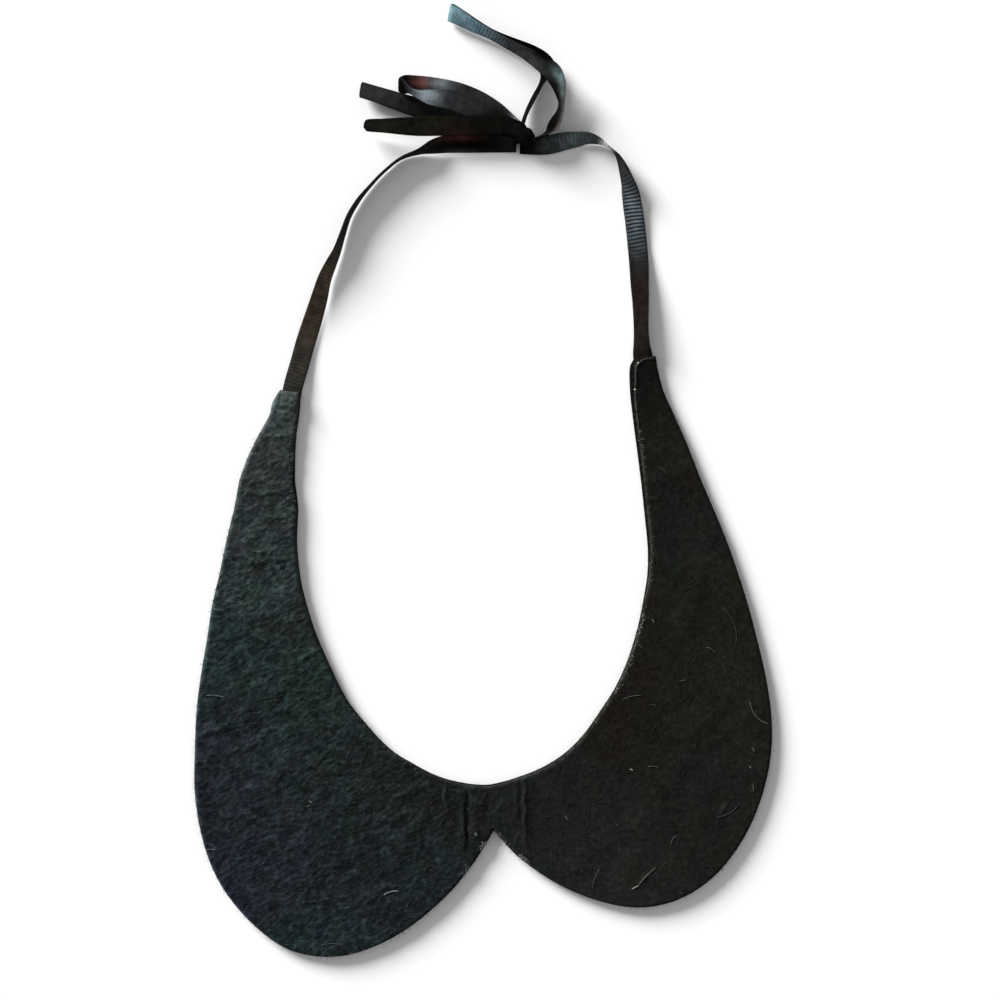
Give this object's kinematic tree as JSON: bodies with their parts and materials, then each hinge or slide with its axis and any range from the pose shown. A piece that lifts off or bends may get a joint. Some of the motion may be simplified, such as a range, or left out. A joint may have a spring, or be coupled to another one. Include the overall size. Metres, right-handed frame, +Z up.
{
  "type": "bib necklace",
  "caption": "Flat bib necklace: a black felt collar with rounded lobes, hung on grosgrain ribbon ties knotted in a bow at the nape.",
  "frame": {"origin": "on the surface the necklace lies on, under the middle of its whole outline", "axes": "+X to the right as the necklace is seen from its front, +Y from the lobes towards the bow at the nape, +Z up off the surface"},
  "size_m": [0.1911, 0.3148, 0.0106],
  "materials": {
    "felt_front": "matte needled felt, black with a green-blue cast",
    "felt_back": "matte needled felt, black",
    "ribbon": "ribbed grosgrain with a soft satin sheen, brown-black"
  },
  "bodies": {
    "root": {"collar_front": "felt_front", "collar_back": "felt_back", "strap_left": "ribbon", "strap_right": "ribbon", "bow_knot": "ribbon", "bow_loop_left": "ribbon", "bow_loop_right": "ribbon", "bow_tail_upper": "ribbon", "bow_tail_lower": "ribbon"}
  },
  "joints": []
}
